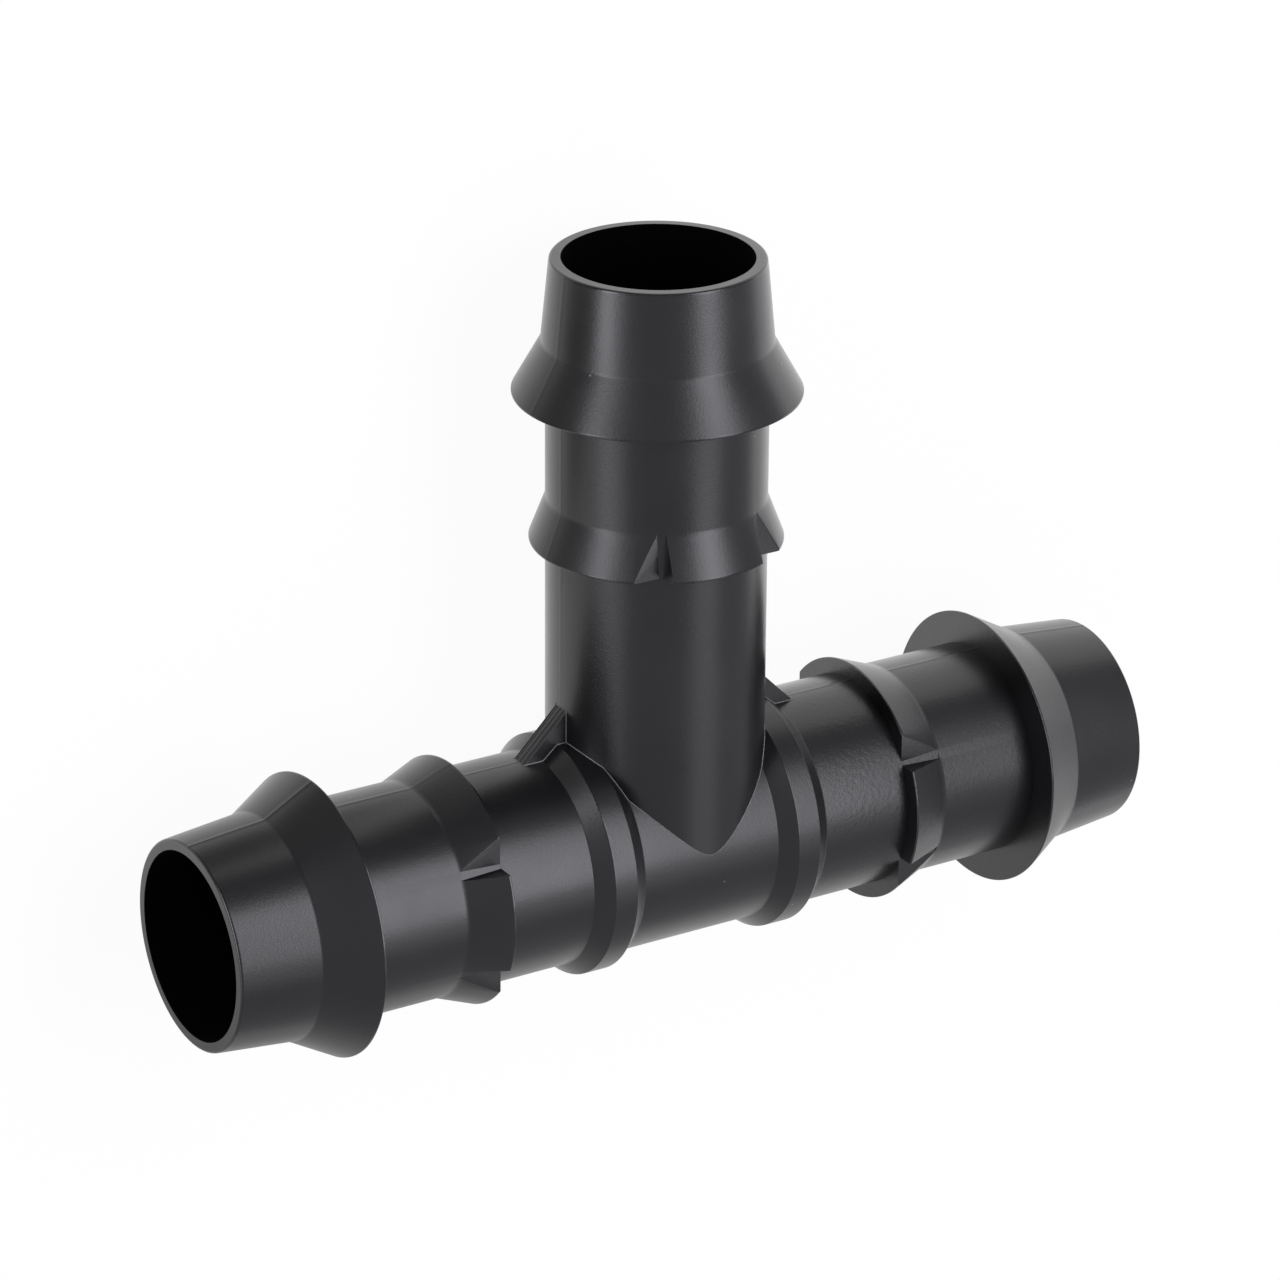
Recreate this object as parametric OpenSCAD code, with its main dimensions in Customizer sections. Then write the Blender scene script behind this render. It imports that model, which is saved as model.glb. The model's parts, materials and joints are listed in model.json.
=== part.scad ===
// Barbed tee for soft polyethylene watering pipe, moulded in one piece.
// The tee lies flat. The run is along X and the branch along +Y, and their axes cross at the
// origin. Z is the way the two halves of the mould opened, so they parted at z = 0.
// All sizes are in millimetres.

/* [Arms] */
// Length of the run, from mouth to mouth
run_length = 77.2; // [70:0.2:120]
// Distance from the axis of the run to the mouth of the branch
branch_reach = 44.7; // [38:0.1:80]
// Outer diameter of the plain barrel of each arm
barrel_d = 16.1; // [15:0.1:20]
// Wall of the barrel round the bore of the run
run_wall = 1.1; // [0.8:0.05:2.2]
// Wall of the barrel round the bore of the branch
branch_wall = 1.15; // [0.8:0.05:2.2]
// How far the middle of the run stands proud of the barrels
waist_step = 0.07; // [0.05:0.01:0.4]

/* [Nose and first barb] */
// How far the outer edge of the mouth lies inside the line of the barrel
mouth_drop = 0.25; // [0.05:0.05:0.3]
// Radius of the rounded outer edge of the mouth
mouth_edge_r = 0.2; // [0.05:0.05:0.4]
// Length of the nose, from the mouth to the foot of the first barb
nose_length = 6.2; // [3:0.1:7]
// How far the nose stands proud of the barrel at the foot of the first barb
nose_rise = 0.35; // [0.1:0.05:0.8]
// Distance from the mouth to the flat back of the first barb
barb_back = 10.1; // [8.5:0.1:12]
// How far the first barb stands proud of the barrel
barb_height = 2.45; // [1.5:0.05:3.2]
// Width of the narrow land on the crest of each barb
barb_land = 0.15; // [0.1:0.05:0.6]
// Radius of the hollow at the foot of the first barb
barb_foot_r = 0.4; // [0.1:0.1:4]

/* [Second barb] */
// Distance from the mouth to the flat back of the second barb
grip_back = 21.4; // [19:0.1:24]
// How far the second barb stands proud of the barrel
grip_height = 1.2; // [0.6:0.05:1.6]
// Angle of the second barb's slope to the barrel, in degrees
grip_slope = 21; // [16:1:40]
// Radius of the hollow that leads up into the second barb's slope
grip_foot_r = 0.4; // [0.1:0.1:4]
// How far the flats on the second barb lie below the top of the barrel, at its back
flat_drop = 1.1; // [0.6:0.05:1.6]
// Draft of those flats, which lean in towards the mouth, in degrees
flat_draft = 1.5; // [0:0.5:6]
// Width of the slot of bare barrel between a flat and the pad beside it, at the back
slot_width = 0.3; // [0.2:0.05:1]
// Draft of the pads' sides, which also lean in towards the mouth, in degrees
pad_draft = 2.5; // [0:0.5:3]

/* [Collars] */
// How far the middle of each collar lies inside the side of the branch
collar_inset = 0.2; // [0:0.05:1]
// Width of the crest of each collar
collar_crest = 1.85; // [1:0.05:3]
// How far each collar stands proud of the barrel
collar_height = 1.02; // [0.4:0.01:1.5]
// Length of the chamfer on each side of a collar
collar_chamfer = 1.2; // [0.4:0.05:1.8]

/* [Gussets] */
// Thickness of the two gussets that brace the branch
gusset_thickness = 1.5; // [0.8:0.1:3]
// How far each gusset runs along the branch and along the run
gusset_leg = 3.5; // [3:0.1:8]

/* [Hidden] */
$fn = 128;
arc_steps = 6;
cut = 1;
barrel_r = barrel_d / 2;
run_bore_r = barrel_r - run_wall;
branch_bore_r = barrel_r - branch_wall;
grip_r = barrel_r + grip_height;
flat_z = barrel_r - flat_drop;
pad_half = sqrt(barrel_r ^ 2 - flat_z ^ 2) - slot_width;

// A unit vector, a turned vector, and the points of an arc that rounds the corner q
function unit(v) = v / norm(v);
function turned(v, a) = [v.x * cos(a) - v.y * sin(a), v.x * sin(a) + v.y * cos(a)];
function rounded(p, q, s, r) =
    let (
        to_p = unit(p - q),
        to_s = unit(s - q),
        half = acos(to_p * to_s) / 2,
        centre = q + unit(to_p + to_s) * r / sin(half),
        first = q + to_p * r / tan(half) - centre,
        sweep = (2 * half - 180) * sign(cross(to_p, to_s))
    )
    [for (i = [0:arc_steps]) centre + turned(first, sweep * i / arc_steps)];

// Outline of an arm from its mouth at y = 0 down to its root: nose, first barb and barrel
function arm_outline(reach) =
    let (
        mouth = [barrel_r - mouth_drop, 0],
        foot = [barrel_r + nose_rise, -nose_length],
        crest = [barrel_r + barb_height, barb_land - barb_back]
    )
    concat(
        [[0, 0]],
        rounded([0, 0], mouth, foot, mouth_edge_r),
        rounded(mouth, foot, crest, barb_foot_r),
        [
            crest,
            [crest.x, -barb_back],
            [barrel_r, -barb_back],
            [barrel_r, -reach],
            [0, -reach]
        ]
    );

// Outline of the second barb, whose hollow foot leaves the barrel without a step
function grip_outline() =
    let (
        crest = [grip_r, barb_land - grip_back],
        foot = [barrel_r, crest.y + grip_height / tan(grip_slope)],
        slope = rounded([barrel_r, 0], foot, crest, grip_foot_r)
    )
    concat(
        [[0, slope[0].y]],
        slope,
        [
            crest,
            [grip_r, -grip_back],
            [0, -grip_back]
        ]
    );

// A slab through an arm, as far on each side of the axis as given at the back of the second
// barb, and drawn in by the draft from there to the mouth
module slab(half_width, draft) {
    behind = half_width + cut * tan(draft);
    mouth = half_width - grip_back * tan(draft);
    rotate([90, 0, 0]) linear_extrude(3 * grip_r, center = true) polygon([
        [-behind, -grip_back - cut],
        [behind, -grip_back - cut],
        [mouth, 0],
        [-mouth, 0]
    ]);
}

// The second barb is a ring cut so that the mould can open along the arm's own X:
// two sides that end in flats, and a steep-sided pad above and below
module second_barb() {
    intersection() {
        rotate_extrude() polygon(grip_outline());
        union() {
            slab(flat_z, flat_draft);
            rotate([0, 0, 90]) slab(pad_half, pad_draft);
        }
    }
}

// One arm, reaching from the origin towards its heading in the XY plane
module arm(reach, heading) {
    rotate([0, 0, heading]) rotate([0, 90, 0]) translate([0, 0, reach]) {
        rotate_extrude() polygon(arm_outline(reach));
        second_barb();
    }
}

// The collar round the run at one side of the branch
module collar(side) {
    crest_half = collar_crest / 2;
    foot_half = crest_half + collar_chamfer;
    translate([side * (barrel_r - collar_inset), 0, 0]) rotate([0, 90, 0]) rotate_extrude()
        polygon([
            [0, -foot_half],
            [barrel_r, -foot_half],
            [barrel_r + collar_height, -crest_half],
            [barrel_r + collar_height, crest_half],
            [barrel_r, foot_half],
            [0, foot_half]
        ]);
}

// The slightly fuller middle of the run, from one collar to the other
module waist() {
    rotate([0, 90, 0]) cylinder(h = 2 * (barrel_r - collar_inset), r = barrel_r + waist_step, center = true);
}

// The two gussets, as one flat triangle that is buried in the run and the branch
module gussets() {
    reach = 2 * barrel_r + gusset_leg;
    linear_extrude(gusset_thickness, center = true) polygon([
        [-reach, 0],
        [0, reach],
        [reach, 0]
    ]);
}

// The bores, which meet in the middle
module bores() {
    rotate([0, 90, 0]) cylinder(h = run_length + 2 * cut, r = run_bore_r, center = true);
    rotate([-90, 0, 0]) cylinder(h = branch_reach + cut, r = branch_bore_r);
}

module tee_body() {
    color([0.2, 0.2, 0.21]) difference() {
        union() {
            arm(run_length / 2, 0);
            arm(run_length / 2, 180);
            arm(branch_reach, 90);
            waist();
            collar(-1);
            collar(1);
            gussets();
        }
        bores();
    }
}

tee_body();
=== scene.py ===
import json
import math

import bmesh
import bpy
from mathutils import Matrix, Vector


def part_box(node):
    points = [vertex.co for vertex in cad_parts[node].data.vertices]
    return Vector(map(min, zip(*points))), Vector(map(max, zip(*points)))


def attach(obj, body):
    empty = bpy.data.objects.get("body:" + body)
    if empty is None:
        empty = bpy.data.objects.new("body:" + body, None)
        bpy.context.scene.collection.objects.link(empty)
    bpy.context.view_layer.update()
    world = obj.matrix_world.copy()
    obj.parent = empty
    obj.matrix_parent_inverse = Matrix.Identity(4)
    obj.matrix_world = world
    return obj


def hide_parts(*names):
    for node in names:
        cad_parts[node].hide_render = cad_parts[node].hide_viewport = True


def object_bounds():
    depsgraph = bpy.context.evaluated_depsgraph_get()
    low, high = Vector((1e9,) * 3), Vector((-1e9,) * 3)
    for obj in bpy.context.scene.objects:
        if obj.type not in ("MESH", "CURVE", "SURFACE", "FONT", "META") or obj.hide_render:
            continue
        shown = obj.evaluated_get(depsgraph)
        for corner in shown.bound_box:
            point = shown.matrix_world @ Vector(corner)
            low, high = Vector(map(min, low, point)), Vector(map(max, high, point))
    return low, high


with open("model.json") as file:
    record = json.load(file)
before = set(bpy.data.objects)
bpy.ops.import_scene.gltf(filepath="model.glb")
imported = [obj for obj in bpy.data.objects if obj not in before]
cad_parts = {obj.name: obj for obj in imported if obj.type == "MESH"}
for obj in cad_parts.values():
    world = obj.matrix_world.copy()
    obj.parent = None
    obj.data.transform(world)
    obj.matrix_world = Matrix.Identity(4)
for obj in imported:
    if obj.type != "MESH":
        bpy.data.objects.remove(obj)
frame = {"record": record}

cad_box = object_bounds()

# The tee lies with its run along X and its branch along Y, and the mould parted at Z = 0.
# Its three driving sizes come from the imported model: the length of the run, the reach of the
# branch and the crest of the first barbs, which the tee lies on.
mm = 0.001
lowest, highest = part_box("tee_body")
run_half = (highest.x - lowest.x) / 2
branch_reach = highest.y
crest_radius = highest.z
bores = {mount["name"]: mount["dims"]["r_mm"] * mm
         for mount in frame["record"]["mounts"] if mount["kind"] == "bore"}
barb_height = 2.45 * mm
barrel_radius = crest_radius - barb_height


# The outline of an arm: a nose that widens from the mouth, the first barb with its flat back,
# and the plain barrel. It was turned into the mould, so every corner has the cutter's small
# radius. Outlines run from the mouth to the root, as pairs of radius and distance.
nose_length = 6.2 * mm
nose_rise = 0.35 * mm
mouth_drop = 0.25 * mm
barb_back = 10.1 * mm
barb_land = 0.15 * mm
mouth_rounding = 0.2 * mm
barb_foot_rounding = 0.5 * mm
crest_rounding = 0.08 * mm
back_rounding = 0.05 * mm
arc_step = math.radians(9)


def rounded(before, corner, after, radius):
    """The points of an arc that takes the place of one corner of an outline."""
    before, corner, after = Vector(before), Vector(corner), Vector(after)
    to_before = (before - corner).normalized()
    to_after = (after - corner).normalized()
    half = to_before.angle(to_after) / 2
    centre = corner + (to_before + to_after).normalized() * radius / math.sin(half)
    first = corner + to_before * radius / math.tan(half) - centre
    last = corner + to_after * radius / math.tan(half) - centre
    sweep = math.pi - 2 * half
    steps = max(2, math.ceil(sweep / arc_step))
    points = []
    for step in range(steps + 1):
        share = step / steps
        arm_first = math.sin((1 - share) * sweep) / math.sin(sweep)
        arm_last = math.sin(share * sweep) / math.sin(sweep)
        points.append(centre + first * arm_first + last * arm_last)
    return points


def with_rounded_corners(corners):
    """An outline from corners, each a point and the radius of its arc, or 0 for a sharp one."""
    points = []
    for index, (corner, radius) in enumerate(corners):
        if radius == 0:
            points.append(Vector(corner))
        else:
            points += rounded(corners[index - 1][0], corner, corners[index + 1][0], radius)
    return points


def nose_and_barb(mouth):
    """The corners of an arm from its mouth to the barrel behind its first barb."""
    back = mouth - barb_back
    return [
        ((0, mouth), 0),
        ((barrel_radius - mouth_drop, mouth), mouth_rounding),
        ((barrel_radius + nose_rise, mouth - nose_length), barb_foot_rounding),
        ((crest_radius, back + barb_land), crest_rounding),
        ((crest_radius, back), back_rounding),
        ((barrel_radius, back), 0),
    ]


# The run: two arms back to back, with a collar on each side of the branch and a waist between
# them that is a hair fuller than the barrels. The collars stop the pipe and stiffen the tee.
waist_radius = barrel_radius + 0.07 * mm
collar_radius = barrel_radius + 1.02 * mm
collar_middle = barrel_radius - 0.2 * mm
collar_crest_half = 0.925 * mm
collar_foot_half = collar_crest_half + 1.2 * mm
collar_foot_rounding = 0.12 * mm
collar_rounding = 0.1 * mm

right_half = with_rounded_corners(nose_and_barb(run_half) + [
    ((barrel_radius, collar_middle + collar_foot_half), collar_foot_rounding),
    ((collar_radius, collar_middle + collar_crest_half), collar_rounding),
    ((collar_radius, collar_middle - collar_crest_half), collar_rounding),
    ((waist_radius, collar_middle - collar_foot_half), collar_foot_rounding),
    ((waist_radius, 0), 0),
])
left_half = [Vector((point.x, -point.y)) for point in reversed(right_half[:-1])]
run_outline = right_half + left_half
branch_outline = with_rounded_corners(nose_and_barb(branch_reach) + [
    ((barrel_radius, 0), 0),
    ((0, 0), 0),
])


def with_close_rings(outline, close=0.03 * mm, long=0.3 * mm):
    """The outline with a point close to each end of its long stretches, to keep them flat."""
    points = [outline[0]]
    for start, end in zip(outline, outline[1:]):
        length = (end - start).length
        if length > long and start.x > long:
            points.append(start.lerp(end, close / length))
        if length > long and end.x > long:
            points.append(end.lerp(start, close / length))
        points.append(end)
    return points


def outline_object(name, outline, least_turn=math.radians(1.5), most_turn=math.radians(30)):
    """An outline as a chain of edges in the XZ plane, radius along X and distance along Z. The
    points where it turns outwards, which are those of its rounded edges, are marked."""
    points = with_close_rings(outline)
    mesh = bpy.data.meshes.new(name)
    chain = [(index, index + 1) for index in range(len(points) - 1)]
    mesh.from_pydata([(point.x, 0, point.y) for point in points], chain, [])
    mark = mesh.attributes.new("edge", "FLOAT", "POINT")
    for index in range(1, len(points) - 1):
        turn = (points[index] - points[index - 1]).angle_signed(points[index + 1] - points[index])
        mark.data[index].value = 1.0 if least_turn < turn < most_turn else 0.0
    piece = bpy.data.objects.new(name, mesh)
    bpy.context.scene.collection.objects.link(piece)
    return piece


# The lathe turns an outline about Z and hands its marked edges on to the faces. The halves of a
# mould never close quite flush, so at each parting plane, which holds Y, it draws two columns
# of points close and lifts the one between them, as the fine raised line of a moulded part.
def new_tree(name, inputs):
    """A geometry node tree with a mesh going in and out, and the named inputs."""
    tree = bpy.data.node_groups.new(name, "GeometryNodeTree")
    tree.interface.new_socket("Geometry", in_out="INPUT", socket_type="NodeSocketGeometry")
    for label, kind, value in inputs:
        socket = tree.interface.new_socket(label, in_out="INPUT", socket_type=kind)
        if value is not None:
            socket.default_value = value
    tree.interface.new_socket("Geometry", in_out="OUTPUT", socket_type="NodeSocketGeometry")
    return tree, tree.nodes.new("NodeGroupInput"), tree.nodes.new("NodeGroupOutput")


def add_node(tree, kind, inputs=(), **settings):
    """One node, with settings by name and its inputs as links or plain values, in order."""
    node = tree.nodes.new(kind)
    for name, value in settings.items():
        setattr(node, name, value)
    enabled = [socket for socket in node.inputs if socket.enabled]
    for socket, value in zip(enabled, inputs):
        if isinstance(value, bpy.types.NodeSocket):
            tree.links.new(value, socket)
        elif value is not None:
            socket.default_value = value
    return node


def calculate(tree, operation, *values):
    """The result of a Math node."""
    return add_node(tree, "ShaderNodeMath", values, operation=operation).outputs[0]


def make_lathe():
    """The tree that turns an outline into a closed solid of revolution."""
    tree, given, result = new_tree("Lathe", [
        ("Segments", "NodeSocketInt", 256),
        ("Parting line width", "NodeSocketFloat", 0.11 * mm),
        ("Parting line height", "NodeSocketFloat", 0.013 * mm),
        ("Largest radius", "NodeSocketFloat", crest_radius),
    ])
    columns = calculate(tree, "ADD", given.outputs["Segments"], 1)
    size = add_node(tree, "GeometryNodeAttributeDomainSize", [given.outputs["Geometry"]])
    grid = add_node(tree, "GeometryNodeMeshGrid", [1, 1, size.outputs["Point Count"], columns])
    index = add_node(tree, "GeometryNodeInputIndex").outputs[0]
    point_middle = calculate(tree, "ADD", index, 0.5)
    ring = calculate(tree, "FLOOR", calculate(tree, "DIVIDE", point_middle, columns))
    column = calculate(tree, "SUBTRACT", index, calculate(tree, "MULTIPLY", ring, columns))
    position = add_node(tree, "GeometryNodeInputPosition").outputs[0]
    sample = add_node(tree, "GeometryNodeSampleIndex", [given.outputs["Geometry"], position, ring],
                      data_type="FLOAT_VECTOR", domain="POINT")
    outline = add_node(tree, "ShaderNodeSeparateXYZ", [sample.outputs[0]])
    radius, distance = outline.outputs["X"], outline.outputs["Z"]

    step = calculate(tree, "DIVIDE", math.tau, given.outputs["Segments"])
    angle = calculate(tree, "MULTIPLY", column, step)
    off_parting = calculate(tree, "WRAP", calculate(tree, "SUBTRACT", angle, math.pi / 2),
                            math.pi / 2, -math.pi / 2)
    steps_off = calculate(tree, "DIVIDE", calculate(tree, "ABSOLUTE", off_parting), step)
    beside = calculate(tree, "LESS_THAN", steps_off, 1.5)
    on_parting = calculate(tree, "LESS_THAN", steps_off, 0.5)
    solid = calculate(tree, "GREATER_THAN", radius, 0.5 * mm)
    half_width = calculate(tree, "DIVIDE", given.outputs["Parting line width"], 2)
    drawn_in = calculate(tree, "DIVIDE", half_width,
                         calculate(tree, "MULTIPLY", calculate(tree, "MAXIMUM", radius, mm), step))
    pull = calculate(tree, "MULTIPLY", beside, calculate(tree, "SUBTRACT", 1, drawn_in))
    turned = calculate(tree, "SUBTRACT", angle, calculate(tree, "MULTIPLY", off_parting, pull))
    lift = calculate(tree, "MULTIPLY", calculate(tree, "MULTIPLY", on_parting, solid),
                     given.outputs["Parting line height"])
    raised = calculate(tree, "MINIMUM", calculate(tree, "ADD", radius, lift),
                       calculate(tree, "MAXIMUM", radius, given.outputs["Largest radius"]))

    place = add_node(tree, "ShaderNodeCombineXYZ", [
        calculate(tree, "MULTIPLY", raised, calculate(tree, "COSINE", turned)),
        calculate(tree, "MULTIPLY", raised, calculate(tree, "SINE", turned)),
        distance,
    ]).outputs[0]
    wrapped = add_node(tree, "GeometryNodeSetPosition", [grid.outputs["Mesh"], None, place])
    mark = add_node(tree, "GeometryNodeInputNamedAttribute", ["edge"], data_type="FLOAT").outputs[0]
    ring_mark = add_node(tree, "GeometryNodeSampleIndex", [given.outputs["Geometry"], mark, ring],
                         data_type="FLOAT", domain="POINT")
    at_points = add_node(tree, "GeometryNodeFieldOnDomain", [ring_mark.outputs[0]],
                         data_type="FLOAT", domain="POINT").outputs[0]
    marked = add_node(tree, "GeometryNodeStoreNamedAttribute",
                      [wrapped.outputs[0], None, "edge", at_points], data_type="FLOAT", domain="FACE")
    merge_distance = 0.001 * mm
    closed = add_node(tree, "GeometryNodeMergeByDistance", [marked.outputs[0], None, merge_distance])
    tree.links.new(closed.outputs[0], result.inputs[0])
    return tree


def apply_tree(piece, tree, **values):
    """Runs a tree on an object and keeps the result as its plain mesh."""
    modifier = piece.modifiers.new(tree.name, "NODES")
    modifier.node_group = tree
    for item in tree.interface.items_tree:
        key = item.name.lower().replace(" ", "_")
        if item.item_type == "SOCKET" and item.in_out == "INPUT" and key in values:
            modifier[item.identifier] = values[key]
    bpy.context.view_layer.update()
    evaluated = piece.evaluated_get(bpy.context.evaluated_depsgraph_get())
    plain = bpy.data.meshes.new_from_object(evaluated)
    piece.modifiers.remove(modifier)
    piece.data = plain
    return piece


def break_edges(piece, width, sharpest):
    """Adds a narrow bevel on the edges that turn by more than an angle, in degrees."""
    bevel = piece.modifiers.new("Edges", "BEVEL")
    bevel.width = width
    bevel.segments = 2
    bevel.limit_method = "ANGLE"
    bevel.angle_limit = math.radians(sharpest)


def apply_modifiers(piece):
    """Keeps the mesh that an object's modifiers give, and removes them."""
    bpy.context.view_layer.update()
    evaluated = piece.evaluated_get(bpy.context.evaluated_depsgraph_get())
    plain = bpy.data.meshes.new_from_object(evaluated)
    piece.modifiers.clear()
    piece.data = plain
    return piece


def face_outwards(piece):
    """Merges doubles and turns every face of a closed mesh outwards."""
    work = bmesh.new()
    work.from_mesh(piece.data)
    bmesh.ops.remove_doubles(work, verts=work.verts, dist=0.0001 * mm)
    bmesh.ops.recalc_face_normals(work, faces=work.faces)
    work.to_mesh(piece.data)
    work.free()
    return piece


lathe = make_lathe()
along_run = Matrix.Rotation(math.pi / 2, 4, "Y")
along_branch = Matrix.Rotation(math.pi / 2, 4, "Z") @ along_run


def turn(name, outline, placement, **values):
    """A solid turned from an outline and laid along its arm."""
    piece = apply_tree(outline_object(name, outline), lathe, **values)
    piece.data.transform(placement)
    return face_outwards(piece)


run = turn("run", run_outline, along_run)
faint_parting_line = {"parting_line_height": 0.005 * mm}
branch = turn("branch", branch_outline, along_branch, **faint_parting_line)


# The second barb is a low ring that grips the pipe. The mould opened across the arm, so the
# ring ends at the sides in flats with a little draft, and above and below it is a pad with
# steep sides. The slot between a flat and its pad was burnt a hair into the barrel.
grip_back = 21.4 * mm
grip_radius = barrel_radius + 1.2 * mm
grip_slope = math.radians(21)
flat_height = barrel_radius - 1.1 * mm
flat_draft = math.radians(1.5)
slot_width = 0.3 * mm
pad_half = math.sqrt(barrel_radius ** 2 - flat_height ** 2) - slot_width
pad_draft = math.radians(2.5)
slot_floor_tilt = math.radians(22)
grip_foot_rounding = 1.2 * mm
grip_crest_rounding = 0.07 * mm
sunk = 0.003 * mm

slope_foot = -grip_back + barb_land + (grip_radius - barrel_radius + sunk) / math.tan(grip_slope)
ring_toe = slope_foot + 1 * mm
ring_outline = with_rounded_corners([
    ((0, ring_toe), 0),
    ((barrel_radius - sunk, ring_toe), 0),
    ((barrel_radius - sunk, slope_foot), grip_foot_rounding),
    ((grip_radius, -grip_back + barb_land), grip_crest_rounding),
    ((grip_radius, -grip_back), back_rounding),
    ((0, -grip_back), 0),
])


def slot_blocks(name, near, far, section):
    """Four blocks, one for each slot. The section gives their outline at a distance."""
    work = bmesh.new()
    for side_x in (-1, 1):
        for side_y in (-1, 1):
            ends = []
            for distance in (near, far):
                ends.append([work.verts.new((side_x * x, side_y * y, distance))
                             for x, y in section(distance)])
            work.faces.new(ends[0])
            work.faces.new(ends[1])
            for index in range(4):
                after = (index + 1) % 4
                work.faces.new((ends[0][index], ends[0][after], ends[1][after], ends[1][index]))
    bmesh.ops.recalc_face_normals(work, faces=work.faces)
    mesh = bpy.data.meshes.new(name)
    work.to_mesh(mesh)
    work.free()
    blocks = bpy.data.objects.new(name, mesh)
    bpy.context.scene.collection.objects.link(blocks)
    return blocks


def slot_sides(distance):
    """Where the flat's plane and the pad's side stand at a distance from the mouth."""
    from_back = grip_back + distance
    return (flat_height - from_back * math.tan(flat_draft),
            pad_half - from_back * math.tan(pad_draft))


def gap_section(distance):
    """The gap between a flat and its pad, from the barrel outwards."""
    flat, pad = slot_sides(distance)
    beyond = 2 * grip_radius
    return (flat, pad), (beyond, pad), (beyond, beyond), (flat, beyond)


def floor_section(distance):
    """What the slot's tilted floor takes off the barrel."""
    flat, pad = slot_sides(distance)
    edge = math.sqrt(barrel_radius ** 2 - flat ** 2)
    at_pad = flat + (edge - pad) * math.tan(slot_floor_tilt)
    top = flat + 1 * mm
    return (flat, edge), (at_pad, pad), (top, pad), (top, edge)


def cut_slots(ring):
    """Cuts the gaps between the flats and the pads out of the ring, and breaks the edges."""
    past = 1 * mm
    cutter = slot_blocks("gaps", -grip_back - past, ring_toe + past, gap_section)
    cut = ring.modifiers.new("Slots", "BOOLEAN")
    cut.operation = "DIFFERENCE"
    cut.solver = "MANIFOLD"
    cut.object = cutter
    break_edges(ring, 0.04 * mm, 30)
    apply_modifiers(ring)
    bpy.data.objects.remove(cutter)


second_barb = turn("second_barb", ring_outline, Matrix.Identity(4), **faint_parting_line)
cut_slots(second_barb)
slot_length = 3.3 * mm
slot_floors = slot_blocks("slot_floors", -grip_back, -grip_back + slot_length, floor_section)


# Two gussets brace the branch against the run. Each is a bar across the inner corner, as thick
# as a tool slot, and its sloping face keeps the fine lines that the tool left along it.
gusset_thickness = 1.5 * mm
gusset_reach = 2 * barrel_radius + 3.5 * mm
gusset_length = 8.6 * mm
gusset_depth = 3.2 * mm


def make_tool_lines():
    """The tree that makes a bar along X with uneven lines along its top."""
    tree, given, result = new_tree("Tool lines", [
        ("Length", "NodeSocketFloat", gusset_length),
        ("Thickness", "NodeSocketFloat", gusset_thickness),
        ("Depth", "NodeSocketFloat", gusset_depth),
        ("Lines", "NodeSocketInt", 20),
        ("Line depth", "NodeSocketFloat", 0.1 * mm),
        ("Seed", "NodeSocketInt", 4),
    ])
    size = add_node(tree, "ShaderNodeCombineXYZ", [
        given.outputs["Length"], given.outputs["Thickness"], given.outputs["Depth"]])
    bar = add_node(tree, "GeometryNodeMeshCube", [size.outputs[0], 2, given.outputs["Lines"], 2])
    position = add_node(tree, "GeometryNodeInputPosition").outputs[0]
    across = add_node(tree, "ShaderNodeSeparateXYZ", [position])
    share = calculate(tree, "DIVIDE", across.outputs["Y"], given.outputs["Thickness"])
    gaps = calculate(tree, "SUBTRACT", given.outputs["Lines"], 1)
    line = calculate(tree, "ROUND", calculate(tree, "MULTIPLY", share, gaps))
    chance = add_node(tree, "FunctionNodeRandomValue",
                      [0.0, 1.0, line, given.outputs["Seed"]], data_type="FLOAT").outputs[1]
    downwards = calculate(tree, "MULTIPLY", given.outputs["Line depth"], -1)
    fall = calculate(tree, "MULTIPLY", chance, downwards)
    drop = add_node(tree, "ShaderNodeCombineXYZ", [0, 0, fall]).outputs[0]
    on_top = calculate(tree, "GREATER_THAN", across.outputs["Z"], 0)
    lined = add_node(tree, "GeometryNodeSetPosition", [bar.outputs["Mesh"], on_top, None, drop])
    tree.links.new(lined.outputs[0], result.inputs[0])
    return tree


def make_gusset():
    """The gusset on the right, laid across the corner with its lined face on the slope."""
    piece = bpy.data.objects.new("gusset", bpy.data.meshes.new("gusset"))
    bpy.context.scene.collection.objects.link(piece)
    apply_tree(piece, make_tool_lines())
    break_edges(piece, 0.06 * mm, 50)
    apply_modifiers(piece)
    middle = gusset_reach / 2
    inwards = gusset_depth / 2 / math.sqrt(2)
    slope = Matrix(((-1, 0, 1, 0), (1, 0, 1, 0), (0, math.sqrt(2), 0, 0), (0, 0, 0, math.sqrt(2))))
    slope = slope * (1 / math.sqrt(2))
    piece.data.transform(Matrix.Translation((middle - inwards, middle - inwards, 0)) @ slope)
    return face_outwards(piece)


gusset = make_gusset()


# The root bead is the fine raised line that the mould's inserts left where they met: along the
# foot of each gusset, over the collar and down the seam between the branch and the run. It
# fades out towards the middle, where the two surfaces run into each other.
bead_radius = 0.052 * mm
bead_share_in_middle = 0.35
foot_steps = 24
seam_steps = 180


def run_radius(x):
    """The radius of the run at x, from its outline."""
    x = abs(x)
    for (outer_radius, outer_x), (inner_radius, inner_x) in zip(right_half, right_half[1:]):
        if inner_x <= x < outer_x:
            share = (x - inner_x) / (outer_x - inner_x)
            return inner_radius + (outer_radius - inner_radius) * share
    return waist_radius


def on_run(x, z):
    """The point of the run's upper side that faces the branch, at x and z."""
    return Vector((x, math.sqrt(run_radius(x) ** 2 - z ** 2), z))


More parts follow.
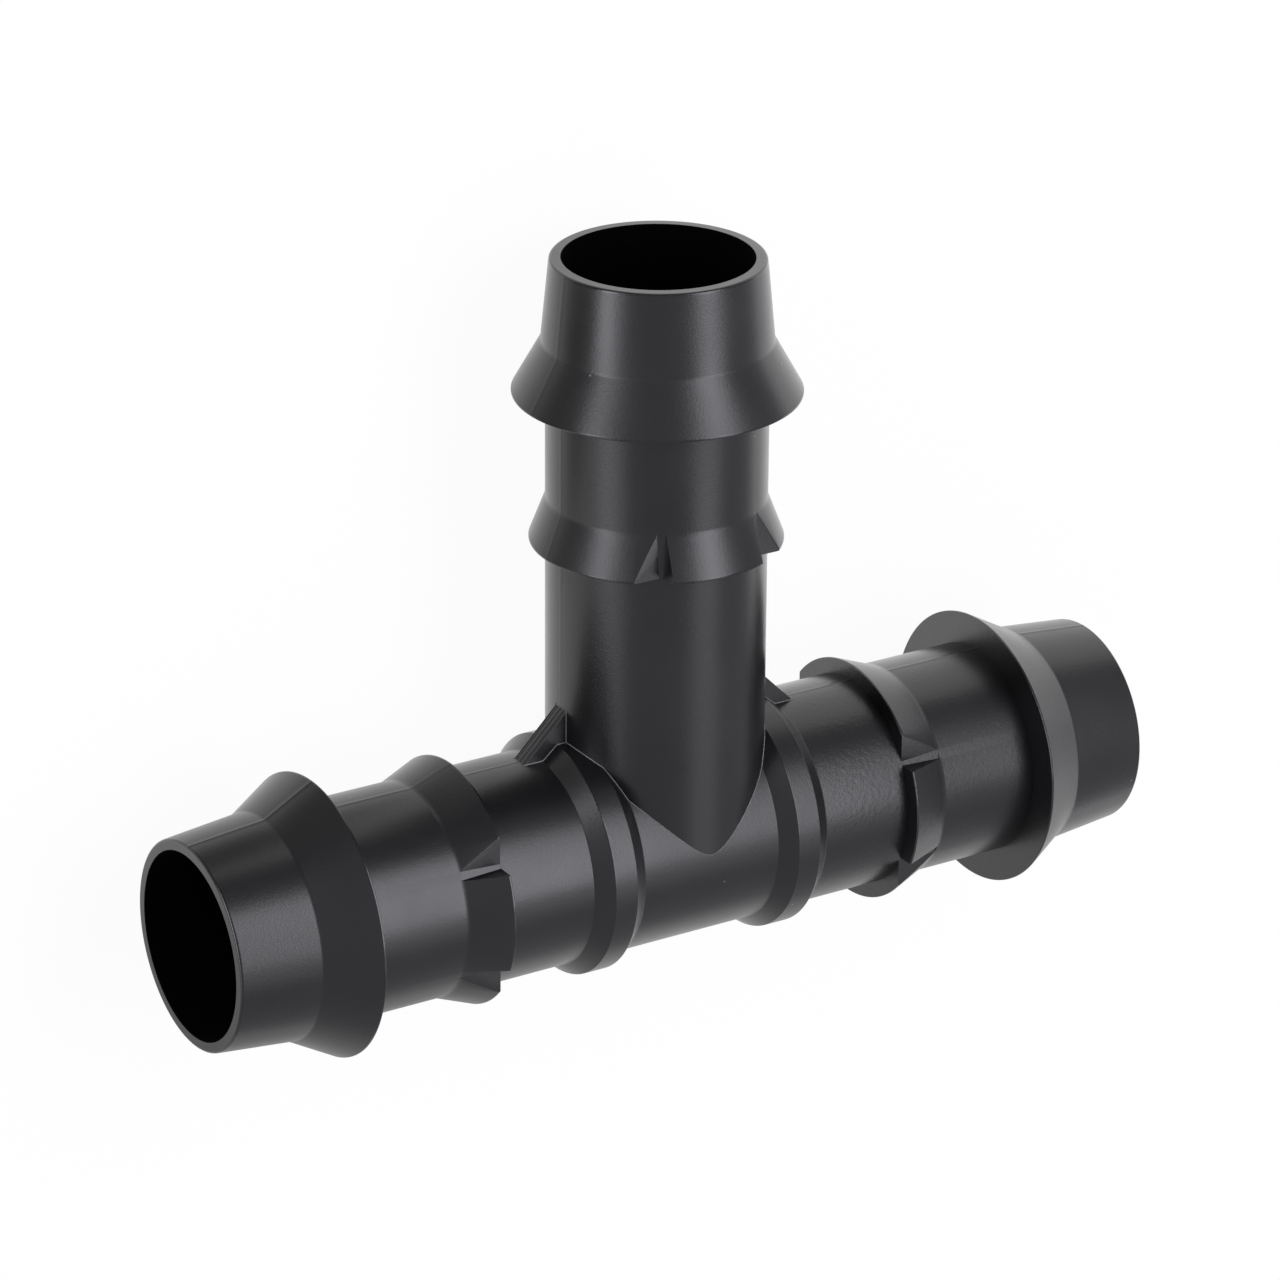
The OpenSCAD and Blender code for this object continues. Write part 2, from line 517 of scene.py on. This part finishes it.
def make_root_bead():
    """The beads of both sides of the tee, as one mesh."""
    half = gusset_thickness / 2
    first_turn = math.asin(half / barrel_radius)
    seam_start = barrel_radius * math.cos(first_turn)
    foot_end = gusset_reach - barrel_radius
    paths = []
    for side in (-1, 1):
        foot = []
        for step in range(foot_steps):
            x = -foot_end + (foot_end - seam_start) * step / foot_steps
            foot.append(on_run(x, side * half))
        other_foot = [Vector((-point.x, point.y, point.z)) for point in reversed(foot)]
        seam = []
        for step in range(seam_steps + 1):
            angle = first_turn + (math.pi - 2 * first_turn) * step / seam_steps
            x, z = -barrel_radius * math.cos(angle), side * barrel_radius * math.sin(angle)
            seam.append(on_run(x, z))
        paths.append(foot + seam + other_foot)
        for end in (-1, 1):
            low = on_run(end * seam_start, side * half)
            paths.append([low, Vector((low.x, foot_end, low.z))])
    mesh = bpy.data.meshes.new("root_bead")
    points, chain = [], []
    for path in paths:
        chain += [(len(points) + index, len(points) + index + 1) for index in range(len(path) - 1)]
        points += path
    mesh.from_pydata(points, chain, [])
    piece = bpy.data.objects.new("root_bead", mesh)
    bpy.context.scene.collection.objects.link(piece)

    tree, given, result = new_tree("Bead", [
        ("Radius", "NodeSocketFloat", bead_radius),
        ("Fade over", "NodeSocketFloat", barrel_radius),
    ])
    position = add_node(tree, "GeometryNodeInputPosition").outputs[0]
    place = add_node(tree, "ShaderNodeSeparateXYZ", [position])
    from_middle = calculate(tree, "DIVIDE", calculate(tree, "ABSOLUTE", place.outputs["X"]),
                            given.outputs["Fade over"])
    growth = calculate(tree, "MULTIPLY", calculate(tree, "MINIMUM", from_middle, 1),
                       1 - bead_share_in_middle)
    size = calculate(tree, "ADD", bead_share_in_middle, growth)
    path = add_node(tree, "GeometryNodeMeshToCurve", [given.outputs["Geometry"]])
    section = add_node(tree, "GeometryNodeCurvePrimitiveCircle", [10, given.outputs["Radius"]])
    tube = add_node(tree, "GeometryNodeCurveToMesh", [path.outputs[0], section.outputs[0], size, True])
    tree.links.new(tube.outputs[0], result.inputs[0])
    return face_outwards(apply_tree(piece, tree))


root_bead = make_root_bead()


# The water way: two bores that meet in the middle, with a broken edge at each mouth.
mouth_break = 0.06 * mm


def bore_outline(radius, start, end):
    """A bore that runs past both ends, with its edge broken where it leaves a mouth."""
    past = 1 * mm
    points = [Vector((0, end + past)), Vector((radius + mouth_break + past, end + past))]
    points += [Vector((radius + mouth_break, end)), Vector((radius, end - mouth_break))]
    if start < 0:
        points += [Vector((point.x, -point.y)) for point in reversed(points)]
    else:
        points += [Vector((radius, start)), Vector((0, start))]
    return points


no_parting_line = {"parting_line_height": 0.0, "parting_line_width": 0.2 * mm}
run_bore = turn("run_bore", bore_outline(bores["run_bore"], -run_half, run_half),
                along_run, **no_parting_line)
branch_bore = turn("branch_bore", bore_outline(bores["branch_bore"], 0, branch_reach),
                   along_branch, **no_parting_line)


# The finish: black polyethylene from a mould whose walls were eroded by spark, which gives an
# even, fine matte grain, with a coarser peel beside the right collar. The skin shows faint flow
# patches and a few specks of dust, and its edges are polished smoother.
grain_size = 0.17 * mm
patch_size = 9 * mm
dust = 0.5


def make_skin_group():
    """The shader group that makes the grain, the flow patches and the specks of dust."""
    group = bpy.data.node_groups.new("Moulded skin", "ShaderNodeTree")
    for label, value in (("Grain size", grain_size), ("Patch size", patch_size), ("Dust", dust)):
        socket = group.interface.new_socket(label, in_out="INPUT", socket_type="NodeSocketFloat")
        socket.default_value = value
    group.interface.new_socket("Place", in_out="INPUT", socket_type="NodeSocketVector")
    group.interface.new_socket("Peel", in_out="INPUT", socket_type="NodeSocketFloat")
    for label in ("Height", "Patches", "Specks"):
        group.interface.new_socket(label, in_out="OUTPUT", socket_type="NodeSocketFloat")
    given = group.nodes.new("NodeGroupInput")
    result = group.nodes.new("NodeGroupOutput")
    place = given.outputs["Place"]

    def noise(scale, detail, roughness):
        """A noise in space, between 0 and 1."""
        node = add_node(group, "ShaderNodeTexNoise", noise_dimensions="3D")
        group.links.new(place, node.inputs["Vector"])
        group.links.new(scale, node.inputs["Scale"])
        node.inputs["Detail"].default_value = detail
        node.inputs["Roughness"].default_value = roughness
        return node.outputs["Fac"]

    grain_scale = calculate(group, "DIVIDE", 1, given.outputs["Grain size"])
    patch_scale = calculate(group, "DIVIDE", 1, given.outputs["Patch size"])
    coarse_scale = calculate(group, "MULTIPLY", grain_scale, 0.45)
    grain = noise(grain_scale, 3.0, 0.6)
    coarse = noise(coarse_scale, 2.0, 0.5)
    wave = calculate(group, "MULTIPLY", coarse, calculate(group, "ADD", given.outputs["Peel"], 0.2))
    height = calculate(group, "ADD", calculate(group, "MULTIPLY", grain, 0.7), wave)
    patches = noise(patch_scale, 4.0, 0.55)
    speck = add_node(group, "ShaderNodeTexVoronoi", voronoi_dimensions="3D", feature="F1")
    group.links.new(place, speck.inputs["Vector"])
    group.links.new(calculate(group, "MULTIPLY", patch_scale, 2.6), speck.inputs["Scale"])
    speck_radius = 0.022
    inside = calculate(group, "LESS_THAN", speck.outputs["Distance"], speck_radius)
    specks = calculate(group, "MULTIPLY", inside, given.outputs["Dust"])
    group.links.new(height, result.inputs["Height"])
    group.links.new(patches, result.inputs["Patches"])
    group.links.new(specks, result.inputs["Specks"])
    return group


skin_group = make_skin_group()


def plastic(name, dark, light, gloss_low, gloss_high, grain_depth, edge_polish=0.0):
    """A black plastic, from its two shades, its two roughnesses, the depth of its grain and how
    much smoother its rounded edges are, where the pipe and the mould have polished them."""
    material = bpy.data.materials.new(name)
    material.use_nodes = True
    tree = material.node_tree
    shader = tree.nodes["Principled BSDF"]
    place = tree.nodes.new("ShaderNodeTexCoord").outputs["Object"]
    skin = add_node(tree, "ShaderNodeGroup", node_tree=skin_group)
    tree.links.new(place, skin.inputs["Place"])
    skin.inputs["Grain size"].default_value = grain_size
    skin.inputs["Patch size"].default_value = patch_size
    skin.inputs["Dust"].default_value = dust
    across = add_node(tree, "ShaderNodeSeparateXYZ", [place])

    def ranged(value, start, end, low, high):
        """A value of the surface, brought from one range to another."""
        return add_node(tree, "ShaderNodeMapRange", [value, start, end, low, high]).outputs[0]

    peel_starts = ranged(across.outputs["X"], 9 * mm, 13 * mm, 0.0, 1.0)
    peel_fades = ranged(across.outputs["X"], 17 * mm, 24 * mm, 1.0, 0.3)
    tree.links.new(calculate(tree, "MULTIPLY", peel_starts, peel_fades), skin.inputs["Peel"])

    def over_patches(low, high):
        """A value that goes from low to high with the flow patches."""
        return ranged(skin.outputs["Patches"], 0.3, 0.7, low, high)

    def mixed(share, first, second):
        """The first colour turned into the second by a share."""
        mix = add_node(tree, "ShaderNodeMix", data_type="RGBA")
        colours = [socket for socket in mix.inputs if socket.type == "RGBA"]
        tree.links.new(share, mix.inputs[0])
        for value, socket in zip((first, second), colours):
            if isinstance(value, bpy.types.NodeSocket):
                tree.links.new(value, socket)
            else:
                socket.default_value = (*value, 1)
        return [output for output in mix.outputs if output.type == "RGBA"][0]

    dust_colour = (0.25, 0.25, 0.26)
    tint = mixed(over_patches(0.0, 1.0), dark, light)
    tree.links.new(mixed(skin.outputs["Specks"], tint, dust_colour), shader.inputs["Base Color"])

    gloss = over_patches(gloss_low, gloss_high)
    edge = add_node(tree, "ShaderNodeAttribute", attribute_name="edge", attribute_type="GEOMETRY")
    polish = calculate(tree, "MULTIPLY", edge.outputs["Fac"], edge_polish)
    tree.links.new(calculate(tree, "SUBTRACT", gloss, polish), shader.inputs["Roughness"])
    bump = tree.nodes.new("ShaderNodeBump")
    bump.inputs["Strength"].default_value = 1.0
    bump.inputs["Distance"].default_value = grain_depth
    tree.links.new(skin.outputs["Height"], bump.inputs["Height"])
    tree.links.new(bump.outputs[0], shader.inputs["Normal"])
    shader.inputs["IOR"].default_value = 1.5
    return material


skin_plastic = plastic("spark_grained_plastic", (0.0038, 0.0037, 0.0041), (0.0054, 0.0052, 0.0058),
                       0.26, 0.34, 0.013 * mm, edge_polish=0.13)
# The fin's pale colour is a painted highlight: it stands in for the light that the fine raised fin
# catches along its whole length.
bead_highlight_plastic = plastic("fin_plastic", (0.10, 0.10, 0.102), (0.15, 0.15, 0.152),
                       0.24, 0.3, 0.004 * mm)
# The bores are painted shade: a near-black colour with almost no reflection stands in for the shade deep
# inside them.
bore_shade_plastic = plastic("core_pin_plastic", (0.0008, 0.0008, 0.0008), (0.0012, 0.0012, 0.0012),
                       0.8, 0.9, 0.01 * mm)
bore_shade_plastic.node_tree.nodes["Principled BSDF"].inputs["Specular IOR Level"].default_value = 0.02


# The moulding: every form joined into the one body that came out of the mould, and the bores
# taken out of it, as the core pins did.
def make_moulding():
    """The tree that joins the forms of the tee and takes the bores out."""
    tree, given, result = new_tree("Moulding", [
        ("Branch", "NodeSocketObject", None),
        ("Second barb", "NodeSocketObject", None),
        ("Slot floors", "NodeSocketObject", None),
        ("Gusset", "NodeSocketObject", None),
        ("Root bead", "NodeSocketObject", None),
        ("Run bore", "NodeSocketObject", None),
        ("Branch bore", "NodeSocketObject", None),
        ("Run half", "NodeSocketFloat", run_half),
        ("Branch reach", "NodeSocketFloat", branch_reach),
        ("Skin", "NodeSocketMaterial", None),
        ("Bead skin", "NodeSocketMaterial", None),
        ("Bore skin", "NodeSocketMaterial", None),
    ])

    def shape(label):
        """The mesh of one of the objects handed in."""
        return add_node(tree, "GeometryNodeObjectInfo", [given.outputs[label]]).outputs["Geometry"]

    def marked(geometry, value):
        """The mesh with a number on its faces that says which surface they are."""
        node = add_node(tree, "GeometryNodeStoreNamedAttribute", data_type="INT", domain="FACE")
        tree.links.new(geometry, node.inputs["Geometry"])
        node.inputs["Name"].default_value = "surface"
        values = [socket for socket in node.inputs if socket.name == "Value" and socket.enabled]
        values[0].default_value = value
        return node.outputs[0]

    def moved(geometry, translation, rotation):
        """The mesh turned about the origin and then moved."""
        return add_node(tree, "GeometryNodeTransform", [geometry, translation, rotation]).outputs[0]

    forms = [given.outputs["Geometry"], shape("Branch"), shape("Gusset")]
    floors = []
    forms.append(moved(shape("Gusset"), (0, 0, 0), (0, math.pi, 0)))
    for heading, label in ((0, "Run half"), (math.pi, "Run half"), (math.pi / 2, "Branch reach")):
        reach = given.outputs[label]
        mouth = add_node(tree, "ShaderNodeCombineXYZ", [
            calculate(tree, "MULTIPLY", reach, round(math.cos(heading))),
            calculate(tree, "MULTIPLY", reach, round(math.sin(heading))),
            0,
        ]).outputs[0]
        forms.append(moved(shape("Second barb"), mouth, (0, math.pi / 2, heading)))
        floors.append(moved(shape("Slot floors"), mouth, (0, math.pi / 2, heading)))
    forms.append(marked(shape("Root bead"), 1))
    joined = add_node(tree, "GeometryNodeMeshBoolean", operation="UNION", solver="MANIFOLD")
    for form in forms:
        tree.links.new(form, joined.inputs["Mesh 2"])
    bored = add_node(tree, "GeometryNodeMeshBoolean", operation="DIFFERENCE", solver="MANIFOLD")
    tree.links.new(joined.outputs["Mesh"], bored.inputs["Mesh 1"])
    for label in ("Run bore", "Branch bore"):
        tree.links.new(marked(shape(label), 2), bored.inputs["Mesh 2"])
    for floor in floors:
        tree.links.new(floor, bored.inputs["Mesh 2"])

    mark = add_node(tree, "GeometryNodeInputNamedAttribute", ["surface"], data_type="INT").outputs[0]
    whole = add_node(tree, "GeometryNodeRealizeInstances", [bored.outputs["Mesh"]]).outputs[0]
    whole = add_node(tree, "GeometryNodeSetMaterial", [whole, None, given.outputs["Skin"]]).outputs[0]
    # The bead's material has a painted highlight colour.
    # The bores' material has a painted shade colour.
    for label, value in (("Bead skin", 1), ("Bore skin", 2)):
        chosen = add_node(tree, "FunctionNodeCompare", [mark, value], data_type="INT", operation="EQUAL")
        whole = add_node(tree, "GeometryNodeSetMaterial",
                         [whole, chosen.outputs[0], given.outputs[label]]).outputs[0]
    tree.links.new(whole, result.inputs[0])
    return tree


apply_tree(run, make_moulding(), branch=branch, second_barb=second_barb, slot_floors=slot_floors,
           gusset=gusset, root_bead=root_bead, run_bore=run_bore, branch_bore=branch_bore,
           skin=skin_plastic, bead_skin=bead_highlight_plastic, bore_skin=bore_shade_plastic)
for shaped in (branch, second_barb, slot_floors, gusset, root_bead, run_bore, branch_bore):
    bpy.data.objects.remove(shaped)


def clean_up(piece):
    """Takes out the slivers that the joins left, and the edges that are then loose."""
    work = bmesh.new()
    work.from_mesh(piece.data)
    bmesh.ops.dissolve_degenerate(work, edges=work.edges, dist=0.0002 * mm)
    loose = [edge for edge in work.edges if not edge.link_faces]
    bmesh.ops.delete(work, geom=loose, context="EDGES")
    work.to_mesh(piece.data)
    work.free()
    return piece


tee = clean_up(run)
tee.name = "tee_moulding"
tee.data.name = "tee_moulding"
tee.data.materials.pop(index=0)
for polygon in tee.data.polygons:
    polygon.use_smooth = True
sharp_from = math.radians(14)
tee.data.set_sharp_from_angle(angle=sharp_from)
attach(tee, "root")
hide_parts("tee_body")


# The floor is a plain white sheet. The camera sees it even and white, with a trace of the soft
# shadow that the tee lies in. In reflections the sheet glows with painted light, brighter on the
# right of the branch than on the left and dimmer below the run, with painted shade in the corner left of
# the branch, far along it.
def make_floor():
    """The sheet, with its own light towards the camera and towards reflections."""
    bpy.ops.mesh.primitive_plane_add(size=6.0, location=(0, 0, cad_box[0].z))
    floor = bpy.context.object
    floor.name = "floor"
    material = bpy.data.materials.new("white_sheet")
    material.use_nodes = True
    tree = material.node_tree
    sheet = tree.nodes["Principled BSDF"]
    sheet.inputs["Base Color"].default_value = (0.82, 0.82, 0.82, 1)
    sheet.inputs["Roughness"].default_value = 0.9
    sheet.inputs["Specular IOR Level"].default_value = 0.1
    place = tree.nodes.new("ShaderNodeSeparateXYZ")
    tree.links.new(tree.nodes.new("ShaderNodeTexCoord").outputs["Object"], place.inputs[0])

    def ramp(axis, start, end, before, after):
        """A brightness that goes from one value to another along an axis of the sheet."""
        values = (place.outputs[axis], start, end, before, after)
        return add_node(tree, "ShaderNodeMapRange", values).outputs[0]

    # The glow that reflections see is painted light, with painted shade in the dim corner.
    towards_right = ramp("X", -8 * mm, 8 * mm, 1.15, 1.5)
    towards_top = ramp("Y", -8 * mm, 4 * mm, 0.65, 1.0)
    painted_shade_corner = calculate(tree, "MAXIMUM", ramp("X", -24 * mm, -12 * mm, 0.3, 1.0),
                           ramp("Y", 14 * mm, 24 * mm, 1.0, 0.3))
    painted_light_side = calculate(tree, "MULTIPLY", towards_right, towards_top)
    painted_glow = calculate(tree, "MULTIPLY", painted_light_side, painted_shade_corner)
    even = tree.nodes.new("ShaderNodeEmission")
    painted_glow_emission = add_node(tree, "ShaderNodeEmission", (None, painted_glow))
    rays = tree.nodes.new("ShaderNodeLightPath")
    reflected = calculate(tree, "MAXIMUM", rays.outputs["Is Glossy Ray"],
                          rays.outputs["Is Transmission Ray"])
    seen_share = 0.95
    seen = calculate(tree, "MULTIPLY", rays.outputs["Is Camera Ray"], seen_share)
    for amount, light in ((seen, even), (reflected, painted_glow_emission)):
        mix = tree.nodes.new("ShaderNodeMixShader")
        tree.links.new(amount, mix.inputs[0])
        tree.links.new(sheet.outputs[0], mix.inputs[1])
        tree.links.new(light.outputs[0], mix.inputs[2])
        sheet = mix
    tree.links.new(sheet.outputs[0], tree.nodes["Material Output"].inputs["Surface"])
    floor.data.materials.append(material)


make_floor()


# Soft boxes light the tee: a low one on its left, a long one overhead with a brighter middle,
# and a dim card on its right. The world fills the rest of the room with an even light that is
# dimmer beyond the branch. All of them are a hair cooler than the sheet.
lamp_tint = (0.987, 0.972, 1.04)
lamp_aim = Vector((0, 12 * mm, 0))


def soft_box(name, swing, lean, distance, across, along, radiance):
    """An area light that faces the tee, swung from overhead towards +X and leant towards +Y, in
    degrees. Its long side follows the branch, and its power gives the radiance asked for."""
    swing, lean = math.radians(swing), math.radians(lean)
    level = math.cos(lean)
    back = Vector((math.sin(swing) * level, math.sin(lean), math.cos(swing) * level))
    long_side = (Vector((0, 1, 0)) - back * back.y).normalized()
    short_side = long_side.cross(back)
    data = bpy.data.lights.new(name, "AREA")
    data.shape = "RECTANGLE"
    data.size = across
    data.size_y = along
    data.energy = radiance * math.pi * across * along
    data.color = lamp_tint
    lamp = bpy.data.objects.new(name, data)
    bpy.context.scene.collection.objects.link(lamp)
    turned = Matrix((short_side, long_side, back)).transposed().to_4x4()
    lamp.matrix_world = Matrix.Translation(lamp_aim + back * distance) @ turned
    lamp.visible_camera = False


soft_box("left_box", -80, 6, 0.37, 0.20, 0.54, 1.2)
soft_box("left_core", -85, 12, 0.37, 0.13, 0.33, 4.3)
soft_box("overhead_box", 20, 10, 0.40, 0.22, 0.66, 0.95)
soft_box("overhead_side", 20, 18, 0.39, 0.20, 0.43, 2.5)
soft_box("overhead_core", 20, 17, 0.38, 0.075, 0.42, 2.0)
soft_box("right_card", 88, -8, 0.37, 0.075, 0.70, 1.1)

world = bpy.data.worlds.new("room")
bpy.context.scene.world = world
world.use_nodes = True
room = world.node_tree
direction = room.nodes.new("ShaderNodeSeparateXYZ")
room.links.new(room.nodes.new("ShaderNodeTexCoord").outputs["Generated"], direction.inputs[0])
brightness = add_node(room, "ShaderNodeMapRange", (direction.outputs["Y"], 0.6, 0.95, 0.62, 0.25))
room.links.new(brightness.outputs[0], room.nodes["Background"].inputs["Strength"])
room.nodes["Background"].inputs["Color"].default_value = (*lamp_tint, 1)


# The camera looks down at the tee with the branch pointing up in the picture. Its place is
# given for the tee stood upright on its run, by azimuth and elevation, and then laid down
# with the tee.
camera_azimuth = 31.725
camera_elevation = 23.405
camera_roll = 0.387
camera_distance = 439.25 * mm
camera_aim = Vector((0, 0, 12 * mm))
camera_slide = Vector((-1.122 * mm, 2.817 * mm, camera_distance))
focal_pixels = 6013.7
picture_pixels = 1280
sensor = 36.0

camera_data = bpy.data.cameras.new("camera")
camera = bpy.data.objects.new("camera", camera_data)
bpy.context.scene.collection.objects.link(camera)
camera_data.sensor_fit = "HORIZONTAL"
camera_data.sensor_width = sensor
camera_data.lens = focal_pixels / picture_pixels * sensor
camera_data.clip_start = 0.01
camera_data.clip_end = 20
upright = (Matrix.Translation(camera_aim)
           @ Matrix.Rotation(math.radians(-camera_azimuth), 4, "Z")
           @ Matrix.Rotation(math.radians(90 - camera_elevation), 4, "X")
           @ Matrix.Translation(camera_slide)
           @ Matrix.Rotation(math.radians(camera_roll), 4, "Z"))
laid_down = Matrix.Rotation(math.radians(-90), 4, "X")
camera.matrix_world = laid_down @ upright
bpy.context.scene.camera = camera
bpy.context.scene.view_settings.view_transform = "Standard"
